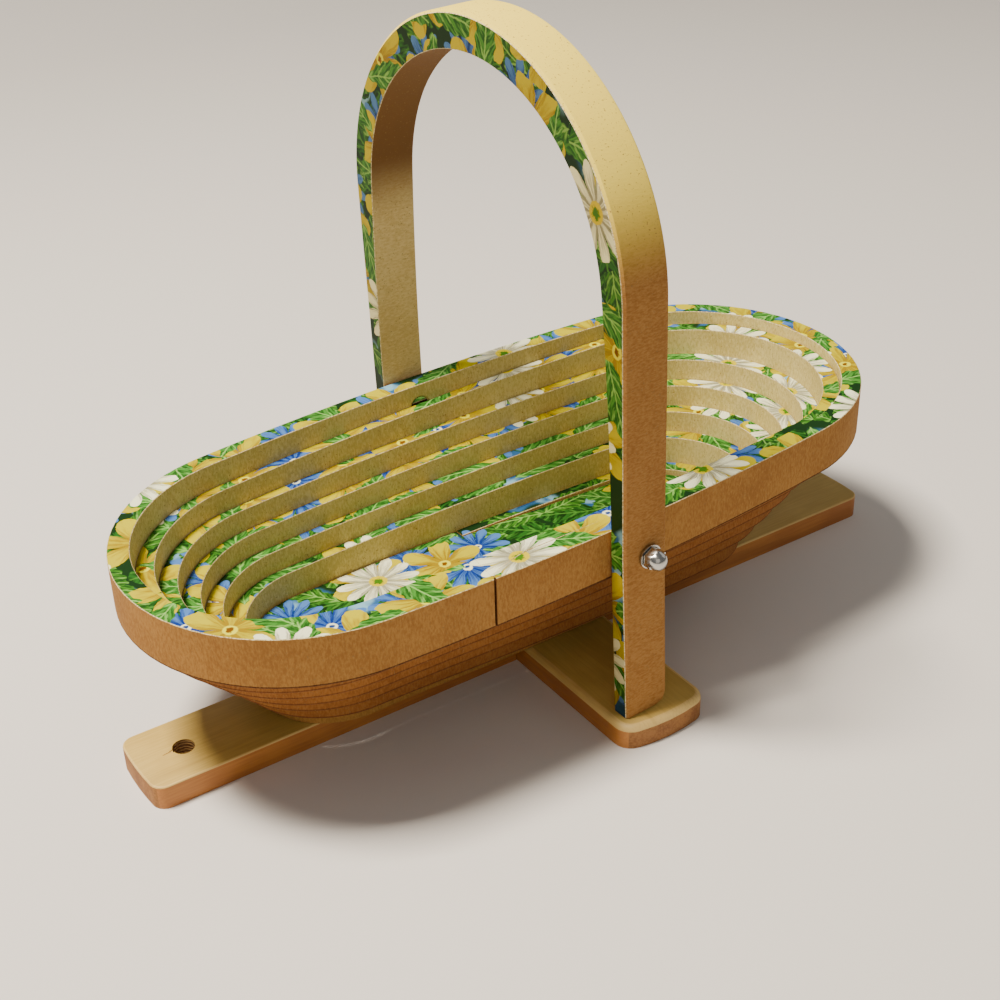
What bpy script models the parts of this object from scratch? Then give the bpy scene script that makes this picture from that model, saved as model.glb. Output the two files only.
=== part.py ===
"""Collapsible wooden basket: an oval board cut into one long spiral, with its handle and its cross foot.

The board lies flat when the basket is stored. Here it is open: the spiral hangs in a bowl below the rim,
the bottom slat stands on the foot, and the handle's legs stand on the crosspiece.
Metres, +Z up. The origin is on the floor under the middle of the oval. +X runs along the basket.
"""
import math

import bmesh
import bpy
from mathutils import Matrix, Vector

MM = 0.001

# The board that the rim, the spiral, the slat and the handle are sawn from
BOARD = 19.0 * MM
HALF_LENGTH = 154.0 * MM
HALF_WIDTH = 69.0 * MM
END_RADIUS = 65.0 * MM
RIM_HEIGHT = 84.0 * MM
RIM_TILT = math.radians(0.7)

# The saw cut that winds inwards
KERF = 0.8 * MM
RIM_WIDTH = 8.0 * MM
PITCH_ALONG = 7.6 * MM
PITCH_ACROSS = 5.46 * MM
PITCH_SHIFT = 0.62 * MM
TURN_TWIST = math.radians(0.35)
ENTRY_SHARE = 0.200
ENTRY_LENGTH = 18.0 * MM
MOUTH_LENGTH = 0.9 * MM
TIP_WIDTH = 1.2 * MM
STEP_SHARE = 0.20
CUT_TURNS = 6.58
SEAM = 0.3 * MM

# How far the spiral hangs down
DROP_PER_TURN = 8.7 * MM
FIRST_DROP = 3.7 * MM
FIRST_DROP_TURNS = 0.8
LAST_DROP_TURNS = 0.98

# Handle, cut round the outside of the oval
HANDLE_GAP = 1.2 * MM
LEG_WIDTH = 6.9 * MM
ARCH_WIDTH = 12.3 * MM
ARCH_RADIUS = 76.9 * MM
HANDLE_LEAN = math.radians(1.2)
LEG_CORNER = 4.5 * MM
LEG_SPLAY = 1.6 * MM
HANDLE_SET = 1.2 * MM
HANDLE_ROUND = 2.2 * MM
HANDLE_CHAMFER = 1.0 * MM
CLEAR = 0.3 * MM

# Foot: two flat bars joined by a half lap
FOOT_THICK = 9.5 * MM
FOOT_TURN = math.radians(-2.1)
BAR_LENGTH = 330.0 * MM
BAR_WIDTH = 32.4 * MM
BAR_SHIFT = 6.0 * MM
CROSS_LENGTH = 171.0 * MM
CROSS_WIDTH = 37.4 * MM
CROSS_SHIFT = 8.0 * MM
BAR_CORNER = 5.0 * MM
BAR_BOW = 1.0 * MM
BAR_EASE = 0.6 * MM
CROSS_CORNER = 7.0 * MM
CROSS_BOW = 2.6 * MM
CROSS_EASE = 2.2 * MM
HANG_HOLE_RADIUS = 4.0 * MM
HANG_HOLE_INSET = 18.2 * MM

# Pivot bolts, nuts and washers
BOLT_RADIUS = 2.0 * MM
BOLT_HEAD_RADIUS = 3.8 * MM
BOLT_HEAD_DEPTH = 2.0 * MM
HEAD_SINK = 0.4 * MM
SPACER_THICK = 0.6 * MM
SPACER_RADIUS = 5.0 * MM
WASHER_THICK = 0.9 * MM
WASHER_RADIUS = 4.4 * MM
NUT_FLATS = 7.0 * MM
NUT_HEX_DEPTH = 3.0 * MM
NUT_DOME_RADIUS = 3.45 * MM
NUT_DOME_DEPTH = 3.0 * MM
NUT_BORE_DEPTH = 4.4 * MM

# Wood screws that hold the slat on the foot
SCREW_RADIUS = 1.8 * MM
SCREW_HEAD_RADIUS = 3.6 * MM
SCREW_HEAD_DEPTH = 2.0 * MM
SCREW_BITE = 9.0 * MM
SCREW_INSET = 34.4 * MM

OVERRUN = 2.0 * MM

# Worked out from the sizes above
FOOT_TOP = FOOT_THICK
SLAT_BOTTOM = FOOT_TOP + CLEAR
SLAT_TOP = SLAT_BOTTOM + BOARD
TOTAL_DROP = RIM_HEIGHT - SLAT_TOP
LAST_DROP = TOTAL_DROP - FIRST_DROP - DROP_PER_TURN * (CUT_TURNS - 1.0)
PIVOT_HEIGHT = RIM_HEIGHT - BOARD / 2.0
SCREW_SPREAD = HALF_LENGTH - RIM_WIDTH - PITCH_ALONG * math.floor(CUT_TURNS) - SCREW_INSET
LEG_INNER = HALF_WIDTH + HANDLE_GAP
LEG_OUTER = LEG_INNER + LEG_WIDTH
HANDLE_FRONT = BOARD / 2.0 + HANDLE_SET
LEG_LENGTH = (PIVOT_HEIGHT - FOOT_TOP - CLEAR - HANDLE_FRONT * math.sin(HANDLE_LEAN)) / math.cos(HANDLE_LEAN)

ENTRY_TURNS = ENTRY_LENGTH / (4.0 * HALF_LENGTH + (2.0 * math.pi - 4.0) * HALF_WIDTH)
MOUTH_TURNS = ENTRY_TURNS * MOUTH_LENGTH / ENTRY_LENGTH

SIDE_STEPS = 8
END_STEPS = 18
LOOP_PARTS = 4
ROUND_SIDES = 20
CORNER_STEPS = 5
BOW_STEPS = 2


def clear_scene():
    """Remove what the scene holds."""
    for obj in list(bpy.data.objects):
        bpy.data.objects.remove(obj, do_unlink=True)


def material(name, colour, roughness, metallic=0.0):
    """Return a plain material of one colour."""
    mat = bpy.data.materials.new(name)
    mat.use_nodes = True
    shader = mat.node_tree.nodes["Principled BSDF"]
    shader.inputs["Base Color"].default_value = (*colour, 1.0)
    shader.inputs["Roughness"].default_value = roughness
    shader.inputs["Metallic"].default_value = metallic
    return mat


def add_object(name, mesh, mat, origin=None):
    """Put a mesh in the scene under the name of its piece, with its origin at a given point."""
    if origin is not None:
        mesh.transform(Matrix.Translation(-Vector(origin)))
    obj = bpy.data.objects.new(name, mesh)
    if origin is not None:
        obj.location = origin
    obj.data.materials.append(mat)
    bpy.context.scene.collection.objects.link(obj)
    return obj


def finish_mesh(name, bm):
    """Turn a bmesh into a mesh whose faces point out."""
    bmesh.ops.recalc_face_normals(bm, faces=bm.faces[:])
    mesh = bpy.data.meshes.new(name)
    bm.to_mesh(mesh)
    bm.free()
    mesh.shade_smooth()
    mesh.set_sharp_from_angle(angle=math.radians(35.0))
    return mesh


def ease(share):
    """Rise smoothly from 0 to 1."""
    share = min(max(share, 0.0), 1.0)
    return share * share * (3.0 - 2.0 * share)


def oval_point(half_length, half_width, end_radius, place):
    """Return the point at a place from 0 to 4 round a bowed oval: near side, right, far side, left."""
    centre = half_length - end_radius
    bow = (centre ** 2 + half_width ** 2 - end_radius ** 2) / (2.0 * (half_width - end_radius))
    lean = math.atan2(centre, bow - half_width)
    place = place % LOOP_PARTS
    part, share = int(place), place - int(place)
    if part % 2 == 0:
        angle = lean * (2.0 * share - 1.0)
        point = Vector((bow * math.sin(angle), -(bow * math.cos(angle) - (bow - half_width)), 0.0))
    else:
        angle = (math.pi / 2.0 - lean) * (2.0 * share - 1.0)
        point = Vector((centre + end_radius * math.cos(angle), end_radius * math.sin(angle), 0.0))
    if part >= 2:
        point = Vector((-point.x, -point.y, 0.0))
    return point


def cut_level(turns):
    """Return how many pitches in from the first pass the cut lies, after a number of turns."""
    done = math.floor(turns)
    return done + ease((turns - done - (1.0 - STEP_SHARE)) / STEP_SHARE)


def cut_point(turns, side):
    """Return a point on one wall of the saw cut; side is +1 on its outer wall and -1 on its inner one."""
    place = turns * LOOP_PARTS + ENTRY_SHARE
    level = cut_level(turns)
    grow = side * KERF / 2.0
    half_width = HALF_WIDTH - RIM_WIDTH - PITCH_ACROSS * level
    end_radius = half_width * (END_RADIUS - RIM_WIDTH) / (HALF_WIDTH - RIM_WIDTH)
    half_length = HALF_LENGTH - RIM_WIDTH - PITCH_ALONG * level
    point = oval_point(half_length + grow, half_width + grow, end_radius + grow, place)
    point.y += PITCH_SHIFT * level
    point.rotate(Matrix.Rotation(-TURN_TWIST * level, 3, "Z"))
    if turns < ENTRY_TURNS:
        share = math.sqrt(turns / ENTRY_TURNS)
        if side > 0:
            tip = TIP_WIDTH / RIM_WIDTH
            run = max(turns - MOUTH_TURNS, 0.0) / (ENTRY_TURNS - MOUTH_TURNS)
            share = tip + (1.0 - tip) * math.sqrt(run)
        point = oval_point(HALF_LENGTH, HALF_WIDTH, END_RADIUS, place).lerp(point, share)
    return point


def strip_top(turns, x):
    """Return the height of the strip's printed face."""
    drop = 0.0
    if turns > 1.0:
        drop = DROP_PER_TURN * (turns - 1.0) + FIRST_DROP * ease((turns - 1.0) / FIRST_DROP_TURNS)
        drop += LAST_DROP * ease((turns - CUT_TURNS + LAST_DROP_TURNS) / LAST_DROP_TURNS)
    level_share = 1.0 - max(turns - 1.0, 0.0) / (CUT_TURNS - 1.0)
    return RIM_HEIGHT - drop + math.tan(RIM_TILT) * level_share * x


def turn_stations(first, last):
    """Return the places along the spiral, in turns, where its outline has points."""
    steps = [SIDE_STEPS, END_STEPS, SIDE_STEPS, END_STEPS]
    stations = [first]
    loop = math.floor(first)
    while loop <= last:
        for part, count in enumerate(steps):
            for step in range(count):
                turns = loop + (part + step / count - ENTRY_SHARE) / LOOP_PARTS
                if first + ENTRY_TURNS / 8.0 < turns < last - ENTRY_TURNS / 8.0:
                    stations.append(turns)
        loop += 1
    places = [math.floor(first) + turns for turns in
              (MOUTH_TURNS, ENTRY_TURNS / 3.0, ENTRY_TURNS * 2.0 / 3.0, ENTRY_TURNS)]
    stations += [turns for turns in places if first < turns < last]
    return sorted(set(stations + [last]))


def seam_turns(turns):
    """Return the share of a turn that half a seam takes up there."""
    step = 1.0e-3
    return SEAM / 2.0 * step / (cut_point(turns + step, -1) - cut_point(turns, -1)).length


def strip_mesh(name, first, last):
    """Model the spiral from one place to another as a bar of the board's thickness."""
    bm = bmesh.new()
    rings = []
    for turns in turn_stations(first, last):
        place = turns * LOOP_PARTS + ENTRY_SHARE
        if turns < 1.0:
            outer = oval_point(HALF_LENGTH, HALF_WIDTH, END_RADIUS, place)
        else:
            outer = cut_point(turns - 1.0, -1)
        inner = cut_point(turns, 1)
        tops = [strip_top(turns, point.x) for point in (outer, inner)]
        corners = [(outer, tops[0]), (inner, tops[1]), (inner, tops[1] - BOARD), (outer, tops[0] - BOARD)]
        rings.append([bm.verts.new((point.x, point.y, height)) for point, height in corners])
    for here, there in zip(rings, rings[1:]):
        for k in range(len(here)):
            bm.faces.new((here[k], here[(k + 1) % len(here)], there[(k + 1) % len(here)], there[k]))
    bm.faces.new(rings[0])
    bm.faces.new(rings[-1])
    return finish_mesh(name, bm)


def prism_mesh(name, outline, bottom, top):
    """Model a flat piece from its outline."""
    bm = bmesh.new()
    face = bm.faces.new([bm.verts.new((x, y, bottom)) for x, y in outline])
    made = bmesh.ops.extrude_face_region(bm, geom=[face])["geom"]
    moved = [item for item in made if isinstance(item, bmesh.types.BMVert)]
    bmesh.ops.translate(bm, verts=moved, vec=(0.0, 0.0, top - bottom))
    return finish_mesh(name, bm)


def turned_mesh(name, profile, sides=ROUND_SIDES):
    """Turn a closed profile of (radius, height) points round Z; radius zero closes it."""
    bm = bmesh.new()
    rings = []
    for radius, height in profile:
        if radius <= 0.0:
            rings.append([bm.verts.new((0.0, 0.0, height))])
            continue
        angles = [2.0 * math.pi * k / sides for k in range(sides)]
        rings.append([bm.verts.new((radius * math.cos(a), radius * math.sin(a), height)) for a in angles])
    closed = len(rings[0]) > 1
    pairs = list(zip(rings, rings[1:])) + ([(rings[-1], rings[0])] if closed else [])
    for here, there in pairs:
        for k in range(sides):
            quad = [here[k % len(here)], here[(k + 1) % len(here)],
                    there[(k + 1) % len(there)], there[k % len(there)]]
            bm.faces.new(list(dict.fromkeys(quad)))
    return finish_mesh(name, bm)


def along_y(mesh, sign, start):
    """Lay a turned mesh along Y at the pivot, its top pointing outwards on one side of the basket."""
    mesh.transform(Matrix.Rotation(-sign * math.pi / 2.0, 4, "X"))
    mesh.transform(Matrix.Translation((0.0, sign * start, PIVOT_HEIGHT)))
    return mesh


def cutter(name, mesh):
    """Put a cutting shape in the scene that isn't part of the basket."""
    obj = bpy.data.objects.new(name, mesh)
    obj.hide_render = True
    obj.display_type = "WIRE"
    bpy.context.scene.collection.objects.link(obj)
    return obj


def cut(obj, tool):
    """Take a cutting shape out of a piece."""
    modifier = obj.modifiers.new("cut_" + tool.name, "BOOLEAN")
    modifier.operation = "DIFFERENCE"
    modifier.solver = "EXACT"
    modifier.object = tool


def countersunk(radius, head_radius, head_depth, length, extra=0.0, sink=0.0):
    """Return the profile of a countersunk screw, head down at zero; extra widens it all round."""
    head = head_radius + extra
    shaft = radius + extra
    start = [(0.0, -sink), (head, -sink)] if sink else [(0.0, 0.0)]
    return start + [(head, 0.0), (shaft, head_depth), (shaft, length + extra), (0.0, length + extra)]


def add_spiral(wood):
    """Model the rim, the hanging turns and the bottom slat."""
    names = ["rim"] + ["spiral_turn_%d" % (k + 1) for k in range(1, math.ceil(CUT_TURNS))]
    pieces = []
    for k, name in enumerate(names):
        first = k + seam_turns(k) if k else MOUTH_TURNS
        last = min(k + 1.0, CUT_TURNS)
        last -= seam_turns(last) * (1 if last < CUT_TURNS else 2)
        pieces.append(add_object(name, strip_mesh(name, first, last), wood))
    outline = [cut_point(turns, -1) for turns in turn_stations(CUT_TURNS - 1.0, CUT_TURNS)]
    slat = prism_mesh("bottom_slat", [(p.x, p.y) for p in outline], SLAT_BOTTOM, SLAT_TOP)
    pieces.append(add_object("bottom_slat", slat, wood))
    return pieces


def handle_outline():
    """Return the handle's outline as (across, up) points measured from the pivot."""
    loops = []
    for half_length, half_width, radius in (
            (HALF_LENGTH + HANDLE_GAP, LEG_INNER, END_RADIUS + HANDLE_GAP),
            (HALF_LENGTH + HANDLE_GAP + ARCH_WIDTH, LEG_OUTER, ARCH_RADIUS)):
        points = [(half_width + LEG_SPLAY, -LEG_LENGTH)]
        for part, count in ((0, SIDE_STEPS), (1, 2 * END_STEPS), (2, SIDE_STEPS)):
            for step in range(count + 1):
                point = oval_point(half_length, half_width, radius, part + min(step / count, 1.0 - 1e-9))
                if point.x > -CLEAR:
                    points.append((-point.y, point.x))
        points.append((-half_width - LEG_SPLAY, -LEG_LENGTH))
        loops.append(merge_close(points))
    return loops[1] + loops[0][::-1]


def merge_close(points):
    """Leave out points that lie on the one before."""
    kept = points[:1]
    for point in points[1:]:
        if math.dist(point, kept[-1]) > CLEAR:
            kept.append(point)
    return kept


def add_handle(wood):
    """Model the handle: the arch with a leg at each side that stands on the crosspiece."""
    bm = bmesh.new()
    face = bm.faces.new([bm.verts.new((-HANDLE_FRONT, y, z)) for y, z in handle_outline()])
    made = bmesh.ops.extrude_face_region(bm, geom=[face])["geom"]
    moved = [item for item in made if isinstance(item, bmesh.types.BMVert)]
    bmesh.ops.translate(bm, verts=moved, vec=(BOARD, 0.0, 0.0))
    corners = [e for e in bm.edges
               if all(abs(v.co.z + LEG_LENGTH) < CLEAR and v.co.x > 0.0 for v in e.verts)]
    bmesh.ops.bevel(bm, geom=corners, offset=LEG_CORNER, segments=5, profile=0.5, affect="EDGES")
    bmesh.ops.recalc_face_normals(bm, faces=bm.faces[:])
    rounded, chamfered = [], []
    for edge in bm.edges:
        walls = [f for f in edge.link_faces if abs(f.normal.x) < 0.01 and f.normal.z > -0.99]
        if len(walls) != 1:
            continue
        other = [f for f in edge.link_faces if f is not walls[0]][0]
        middle = (edge.verts[0].co + edge.verts[1].co) / 2.0
        outward = walls[0].normal.y * middle.y + walls[0].normal.z * max(middle.z, 0.0)
        if other.normal.x > 0.1:
            rounded.append(edge)
        elif other.normal.x < -0.99 and outward > 0.0:
            chamfered.append(edge)
    bmesh.ops.bevel(bm, geom=rounded, offset=HANDLE_ROUND, segments=2, profile=0.5, affect="EDGES")
    chamfered = [e for e in chamfered if e.is_valid]
    bmesh.ops.bevel(bm, geom=chamfered, offset=HANDLE_CHAMFER, segments=1, profile=0.5, affect="EDGES")
    mesh = finish_mesh("handle", bm)
    mesh.transform(Matrix.Rotation(-HANDLE_LEAN, 4, "Y"))
    mesh.transform(Matrix.Translation((0.0, 0.0, PIVOT_HEIGHT)))
    return add_object("handle", mesh, wood, (0.0, 0.0, PIVOT_HEIGHT))


def add_pivots(rim, handle, steel):
    """Model the bolt, the washers and the cap nut at each pivot, and bore the rim and the legs."""
    head_at = HALF_WIDTH - RIM_WIDTH + KERF / 2.0 + HEAD_SINK
    washer_at = LEG_OUTER + CLEAR
    nut_at = washer_at + WASHER_THICK + CLEAR
    bolt_length = nut_at + NUT_BORE_DEPTH - CLEAR - head_at
    pivot = (0.0, 0.0, PIVOT_HEIGHT)
    for side, sign in (("near", -1.0), ("far", 1.0)):
        bore = countersunk(BOLT_RADIUS, BOLT_HEAD_RADIUS, BOLT_HEAD_DEPTH, bolt_length, CLEAR, OVERRUN)
        tool = cutter("bore_" + side, along_y(turned_mesh("bore", bore), sign, head_at))
        cut(rim, tool)
        inner = BOLT_RADIUS + CLEAR
        plain = [(0.0, 0.0), (inner, 0.0), (inner, bolt_length), (0.0, bolt_length)]
        leg_tool = along_y(turned_mesh("leg_bore", plain), sign, head_at + BOLT_HEAD_DEPTH)
        leg_tool.transform(Matrix.Translation((0.0, 0.0, -PIVOT_HEIGHT)))
        leg_cutter = cutter("leg_bore_" + side, leg_tool)
        leg_cutter.location = pivot
        cut(handle, leg_cutter)
        bolt = countersunk(BOLT_RADIUS, BOLT_HEAD_RADIUS, BOLT_HEAD_DEPTH, bolt_length)
        add_object("pivot_bolt_" + side, along_y(turned_mesh("bolt", bolt), sign, head_at), steel, pivot)
        spacer_at = HALF_WIDTH + (HANDLE_GAP - SPACER_THICK) / 2.0
        for name, radius, thick, start in (
                ("spacer_washer_", SPACER_RADIUS, SPACER_THICK, spacer_at),
                ("nut_washer_", WASHER_RADIUS, WASHER_THICK, washer_at)):
            ring = turned_mesh(name, [(inner, 0.0), (radius, 0.0), (radius, thick), (inner, thick)])
            add_object(name + side, along_y(ring, sign, start), steel, pivot)
        add_object("cap_nut_" + side, along_y(cap_nut_mesh(), sign, nut_at), steel, pivot)


def cap_nut_mesh():
    """Model a domed cap nut: a hexagon with a dome on it and a blind bore."""
    bm = bmesh.new()
    sides = 24
    corner = NUT_FLATS / math.sqrt(3.0)
    bore = BOLT_RADIUS + CLEAR

    def hexagon(angle):
        return NUT_FLATS / 2.0 / math.cos((angle + math.pi / 6.0) % (math.pi / 3.0) - math.pi / 6.0)

    rows = [(lambda a: bore, NUT_BORE_DEPTH), (lambda a: bore, 0.0), (hexagon, 0.0), (hexagon, NUT_HEX_DEPTH),
            (lambda a: NUT_DOME_RADIUS, NUT_HEX_DEPTH + (corner - NUT_DOME_RADIUS) / 2.0)]
    for share in (0.3, 0.6, 0.85):
        angle = share * math.pi / 2.0
        rows.append((lambda a, s=angle: NUT_DOME_RADIUS * math.cos(s),
                     NUT_HEX_DEPTH + (corner - NUT_DOME_RADIUS) / 2.0 + NUT_DOME_DEPTH * math.sin(angle)))
    rings = []
    for radius, height in rows:
        ring = []
        for k in range(sides):
            angle = 2.0 * math.pi * k / sides
            ring.append(bm.verts.new((radius(angle) * math.cos(angle), radius(angle) * math.sin(angle), height)))
        rings.append(ring)
    for here, there in zip(rings, rings[1:]):
        for k in range(sides):
            bm.faces.new((here[k], here[(k + 1) % sides], there[(k + 1) % sides], there[k]))
    bm.faces.new(rings[0])
    bm.faces.new(rings[-1])
    return finish_mesh("cap_nut", bm)


def bar_outline(length, width, bow_depth, corner):
    """Return the outline of a foot bar: bowed ends that run into rounded corners."""
    half = width / 2.0
    bow = (half ** 2 + bow_depth ** 2) / (2.0 * bow_depth)
    back = math.sqrt((bow - corner) ** 2 - (half - corner) ** 2)
    lean = math.atan2(half - corner, back)
    middle = length / 2.0 - bow
    upper = []
    for k in range(BOW_STEPS):
        angle = lean * k / BOW_STEPS
        upper.append((middle + bow * math.cos(angle), bow * math.sin(angle)))
    for k in range(CORNER_STEPS + 1):
        angle = lean + (math.pi / 2.0 - lean) * k / CORNER_STEPS
        upper.append((middle + back + corner * math.cos(angle), half - corner + corner * math.sin(angle)))
    end = [(x, -y) for x, y in upper[:0:-1]] + upper
    return end + [(-x, -y) for x, y in end]


def eased_bar(name, outline, ease_width, wood):
    """Model a foot bar with the edges of its top eased."""
    bm = bmesh.new()
    face = bm.faces.new([bm.verts.new((x, y, 0.0)) for x, y in outline])
    made = bmesh.ops.extrude_face_region(bm, geom=[face])["geom"]
    moved = [item for item in made if isinstance(item, bmesh.types.BMVert)]
    bmesh.ops.translate(bm, verts=moved, vec=(0.0, 0.0, FOOT_THICK))
    top = [e for e in bm.edges if all(abs(v.co.z - FOOT_THICK) < CLEAR for v in e.verts)]
    bmesh.ops.bevel(bm, geom=top, offset=ease_width, segments=3, profile=0.5, affect="EDGES")
    return add_object(name, finish_mesh(name, bm), wood)


def box_mesh(name, low, high):
    """Return a box between two corners."""
    outline = [(low[0], low[1]), (high[0], low[1]), (high[0], high[1]), (low[0], high[1])]
    return prism_mesh(name, outline, low[2], high[2])


def add_foot(pine, steel, slat):
    """Model the two bars of the foot, their half lap, the hang hole and the screws into the slat."""
    turn = Matrix.Rotation(FOOT_TURN, 4, "Z")
    bar = eased_bar("foot_long_bar", bar_outline(BAR_LENGTH, BAR_WIDTH, BAR_BOW, BAR_CORNER), BAR_EASE, pine)
    bar.data.transform(turn @ Matrix.Translation((BAR_SHIFT, 0.0, 0.0)))
    outline = bar_outline(CROSS_LENGTH, CROSS_WIDTH, CROSS_BOW, CROSS_CORNER)
    cross = eased_bar("foot_crosspiece", outline, CROSS_EASE, pine)
    across = Matrix.Rotation(math.pi / 2.0, 4, "Z")
    cross.data.transform(turn @ Matrix.Translation((CROSS_SHIFT, 0.0, 0.0)) @ across)
    half = FOOT_THICK / 2.0
    wide, deep = CROSS_WIDTH / 2.0 + CLEAR, BAR_WIDTH / 2.0 + CLEAR
    lap_bar = box_mesh("lap_bar", (CROSS_SHIFT - wide, -deep - OVERRUN, -OVERRUN),
                       (CROSS_SHIFT + wide, deep + OVERRUN, half + CLEAR / 2.0))
    lap_cross = box_mesh("lap_cross", (CROSS_SHIFT - wide - OVERRUN, -deep, half - CLEAR / 2.0),
                         (CROSS_SHIFT + wide + OVERRUN, deep, FOOT_THICK + OVERRUN))
    hole = turned_mesh("hang_hole", [(0.0, -OVERRUN), (HANG_HOLE_RADIUS, -OVERRUN),
                                     (HANG_HOLE_RADIUS, FOOT_THICK + OVERRUN), (0.0, FOOT_THICK + OVERRUN)])
    hole.transform(Matrix.Translation((BAR_SHIFT - BAR_LENGTH / 2.0 + HANG_HOLE_INSET, 0.0, 0.0)))
    for mesh, target in ((lap_bar, bar), (lap_cross, cross), (hole, bar)):
        mesh.transform(turn)
        cut(target, cutter("cut_" + mesh.name, mesh))
    length = SLAT_BOTTOM + SCREW_BITE - HEAD_SINK
    for k, side in ((-1, "left"), (0, "middle"), (1, "right")):
        place = turn @ Matrix.Translation((CROSS_SHIFT + k * SCREW_SPREAD, 0.0, HEAD_SINK))
        body = countersunk(SCREW_RADIUS, SCREW_HEAD_RADIUS, SCREW_HEAD_DEPTH, length)
        mesh = turned_mesh("screw", body, sides=12)
        mesh.transform(place)
        add_object("foot_screw_" + side, mesh, steel)
        bore = countersunk(SCREW_RADIUS, SCREW_HEAD_RADIUS, SCREW_HEAD_DEPTH, length, CLEAR, OVERRUN)
        tool_mesh = turned_mesh("screw_bore", bore, sides=12)
        tool_mesh.transform(place)
        tool = cutter("screw_bore_" + side, tool_mesh)
        for target in (bar, slat) if k else (bar, slat, cross):
            cut(target, tool)


def main():
    """Build the whole basket."""
    clear_scene()
    wood = material("printed_board", (0.52, 0.37, 0.18), 0.75)
    pine = material("pine", (0.66, 0.46, 0.22), 0.6)
    steel = material("plated_steel", (0.72, 0.72, 0.72), 0.25, 1.0)
    pieces = add_spiral(wood)
    handle = add_handle(wood)
    add_pivots(pieces[0], handle, steel)
    add_foot(pine, steel, pieces[-1])


main()
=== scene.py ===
"""Looks of the collapsible spiral basket: sawn printed board, pine foot and plated fittings.

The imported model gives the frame. Pieces whose fine shape shows are remodelled here at the same
sizes and ride the same bodies; the rest keep their solids and get a finish. Metres, +Z up, +X along
the basket.
"""
import logging
import math
from collections.abc import Callable
from dataclasses import dataclass
from enum import Enum, IntEnum

import bpy
from mathutils import Matrix, Vector


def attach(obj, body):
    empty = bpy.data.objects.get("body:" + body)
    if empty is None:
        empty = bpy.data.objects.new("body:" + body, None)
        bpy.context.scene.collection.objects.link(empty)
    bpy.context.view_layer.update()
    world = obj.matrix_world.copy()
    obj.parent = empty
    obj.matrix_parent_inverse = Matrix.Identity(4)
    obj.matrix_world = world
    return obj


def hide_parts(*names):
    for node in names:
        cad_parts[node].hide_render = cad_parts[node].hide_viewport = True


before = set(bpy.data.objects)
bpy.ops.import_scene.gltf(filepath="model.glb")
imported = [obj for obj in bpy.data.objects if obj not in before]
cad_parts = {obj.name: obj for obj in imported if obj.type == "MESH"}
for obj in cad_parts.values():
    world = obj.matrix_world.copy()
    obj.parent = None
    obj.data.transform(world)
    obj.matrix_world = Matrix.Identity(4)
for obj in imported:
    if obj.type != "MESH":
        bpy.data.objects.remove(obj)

LOG = logging.getLogger("basket")
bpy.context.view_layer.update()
MM = 0.001
WELD = 1.0e-6
RECAST_WELD = 2.0e-6
SAWN_CREASE = 22.0
STEEL_CREASE = 32.0
PINE_CREASE = 40.0
UPRIGHT = 0.2
FLAT = 0.97
FULL_TURN = 2.0 * math.pi

Colour = tuple[float, float, float, float]
Material = bpy.types.Material
Piece = bpy.types.Object
Node = bpy.types.Node
Socket = bpy.types.NodeSocket
Tree = bpy.types.NodeTree


def linear(code: str) -> Colour:
    """Turn an sRGB hex value into a linear colour.

    Args:
        code: six hex digits, such as "C79F5E".

    Returns:
        Red, green, blue and an alpha of one.
    """
    parts = [int(code[k:k + 2], 16) / 255.0 for k in (0, 2, 4)]
    line = [p / 12.92 if p <= 0.04045 else ((p + 0.055) / 1.055) ** 2.4 for p in parts]
    return (line[0], line[1], line[2], 1.0)


def add_node(tree: Tree, kind: str, inputs: dict | None = None, **settings) -> Node:
    """Add a node with its settings, values and links.

    Args:
        tree: the node tree that gets the node.
        kind: the node's type name.
        inputs: socket name or number to a value or to an output socket to link.
        settings: the node's own properties.

    Returns:
        The new node.
    """
    node = tree.nodes.new(kind)
    for key, value in settings.items():
        setattr(node, key, value)
    for key, value in (inputs or {}).items():
        if isinstance(value, Socket):
            tree.links.new(value, node.inputs[key])
        else:
            node.inputs[key].default_value = value
    return node


def math_node(tree: Tree, operation: str, *values) -> Socket:
    """Return the output of a Math node over values or sockets."""
    return add_node(tree, "ShaderNodeMath", dict(enumerate(values)), operation=operation).outputs[0]


def plus(tree: Tree, first: Socket | float, second: Socket | float) -> Socket:
    """Return a sum."""
    return math_node(tree, "ADD", first, second)


def minus(tree: Tree, first: Socket | float, second: Socket | float) -> Socket:
    """Return a difference."""
    return math_node(tree, "SUBTRACT", first, second)


def times(tree: Tree, first: Socket | float, second: Socket | float) -> Socket:
    """Return a product."""
    return math_node(tree, "MULTIPLY", first, second)


def vector_node(tree: Tree, operation: str, *values) -> Socket:
    """Return the output of a Vector Math node over vectors or sockets."""
    inputs = dict(enumerate(values))
    return add_node(tree, "ShaderNodeVectorMath", inputs, operation=operation).outputs[0]


def object_place(tree: Tree) -> Socket:
    """Return the object's own coordinates."""
    return add_node(tree, "ShaderNodeTexCoord").outputs["Object"]


def split(tree: Tree, vector: Socket) -> tuple[Socket, Socket, Socket]:
    """Return the three parts of a vector."""
    return tuple(add_node(tree, "ShaderNodeSeparateXYZ", {0: vector}).outputs)


def noise(tree: Tree, place: Socket, scale: float, detail: float, output: int | str = 0) -> Socket:
    """Return a noise texture's grey value, or its "Color" output."""
    return add_node(tree, "ShaderNodeTexNoise",
                    {"Vector": place, "Scale": scale, "Detail": detail}).outputs[output]


def weigh(tree: Tree, first: Socket, second: Socket, share: float) -> Socket:
    """Return two values added up, the first with a share of the weight."""
    return plus(tree, times(tree, first, share), times(tree, second, 1.0 - share))


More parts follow.
